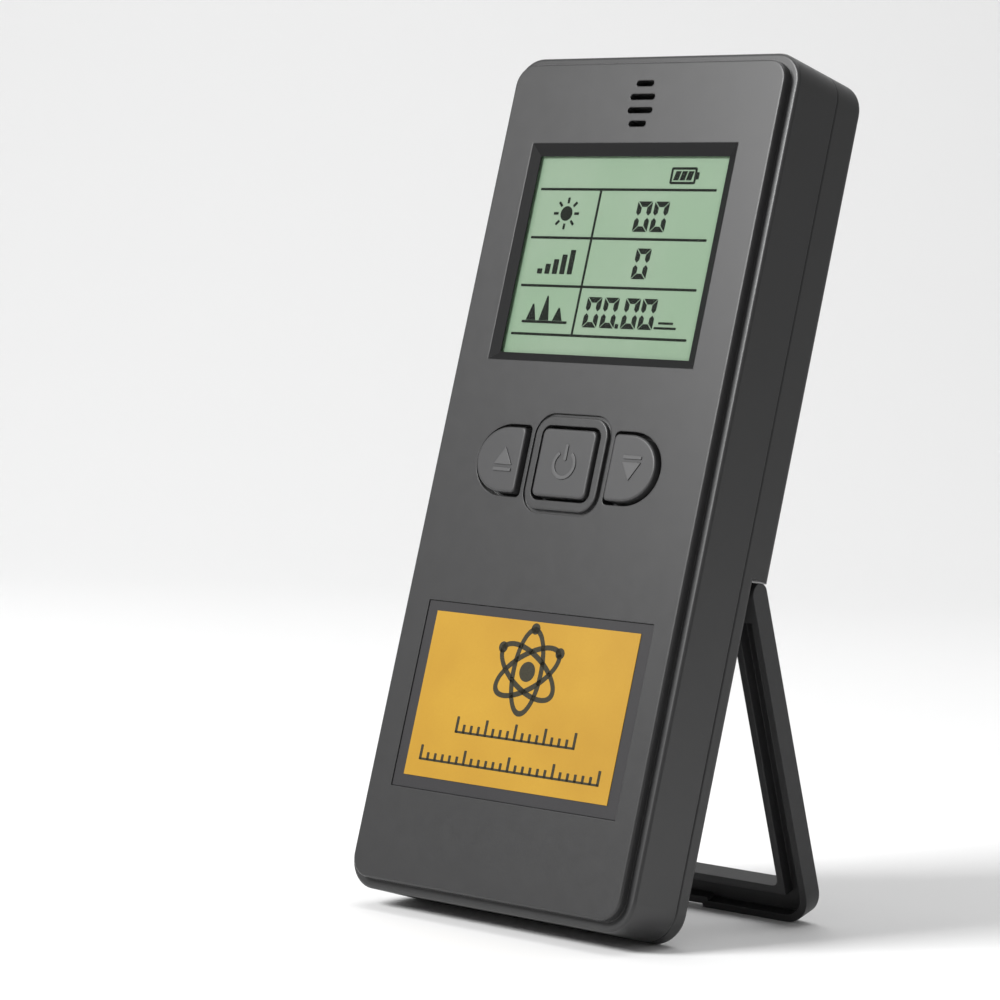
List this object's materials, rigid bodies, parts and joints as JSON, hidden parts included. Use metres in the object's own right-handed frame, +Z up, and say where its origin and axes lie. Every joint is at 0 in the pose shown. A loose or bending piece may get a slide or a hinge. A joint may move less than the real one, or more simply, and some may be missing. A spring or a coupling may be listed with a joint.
{
  "type": "geiger counter",
  "caption": "Slim handheld radiation meter with a display window, keys, a label panel and a fold-out bail that props it leaning back.",
  "frame": {"origin": "on the surface it stands on, in the middle of the standing object's width and depth", "axes": "+Z up, front panel facing -Y and leaning back, +X to the right seen from the front"},
  "size_m": [0.0556, 0.0484, 0.1287],
  "materials": {
    "shell": "fine satin moulded texture",
    "stand": "satin moulded",
    "window": "clear polished",
    "display": "reflective green panel with dark segments",
    "diffuser": "milky",
    "frame_plastic": "plain moulded",
    "strip_rubber": "smooth silicone with a dark conducting core",
    "film": "thin matt film",
    "label": "printed and laminated",
    "mesh_cloth": "fine woven dust mesh",
    "keys": "satin moulded",
    "plunger": "plain moulded",
    "switch_body": "stamped cover",
    "board": "green solder mask",
    "buzzer_shell": "moulded",
    "tube_glass": "dark coated glass",
    "tube_metal": "nickel plated",
    "clip_metal": "sprung sheet",
    "coil_tape": "yellow tape",
    "capacitor_sleeve": "shrunk sleeve",
    "chip_plastic": "moulded epoxy",
    "cell": "printed wrap",
    "contact_metal": "nickel plated spring steel",
    "screw_steel": "dark zinc"
  },
  "bodies": {
    "case": {"backlight_panel": "diffuser", "battery_cells": "cell", "board_chips": "chip_plastic", "board_screws": "screw_steel", "buzzer": "buzzer_shell", "case_screws": "screw_steel", "cell_contacts": "contact_metal", "cell_springs": "contact_metal", "circuit_board": "board", "connector_strips": "strip_rubber", "display_frame": "frame_plastic", "display_glass": "display", "display_window": "window", "front_shell": "shell", "geiger_tube": "tube_glass", "label_film": "film", "label_panel": "label", "light_sensor": "chip_plastic", "rear_shell": "shell", "sensor_window": "window", "sound_mesh": "mesh_cloth", "storage_capacitor": "capacitor_sleeve", "tact_switches": "switch_body", "tube_caps": "tube_metal", "tube_clips": "clip_metal", "voltage_coil": "coil_tape"},
    "kickstand": {"kickstand": "stand"},
    "up_key": {"up_key": "keys", "up_plunger": "plunger"},
    "power_key": {"power_key": "keys", "power_plunger": "plunger"},
    "down_key": {"down_key": "keys", "down_plunger": "plunger"},
    "battery_door": {"battery_door": "shell"}
  },
  "joints": [
    {"name": "kickstand_fold", "type": "hinge", "parent": "case", "child": "kickstand", "pos_m": [0, 0.00366, 0.0501], "axis": [-1, 0, 0], "range_deg": [0, 33.2]},
    {"name": "up_key_press", "type": "slide", "parent": "case", "child": "up_key", "axis": [0, 0.9688, -0.2477], "range_m": [0, 0.0006], "stiffness_N_per_m": 1200, "springref_m": -0.0003},
    {"name": "power_key_press", "type": "slide", "parent": "case", "child": "power_key", "axis": [0, 0.9688, -0.2477], "range_m": [0, 0.0006], "stiffness_N_per_m": 1200, "springref_m": -0.0003},
    {"name": "down_key_press", "type": "slide", "parent": "case", "child": "down_key", "axis": [0, 0.9688, -0.2477], "range_m": [0, 0.0006], "stiffness_N_per_m": 1200, "springref_m": -0.0003},
    {"name": "battery_door_lift", "type": "slide", "parent": "case", "child": "battery_door", "axis": [0, 0.9688, -0.2477], "range_m": [0, 0.014]}
  ]
}
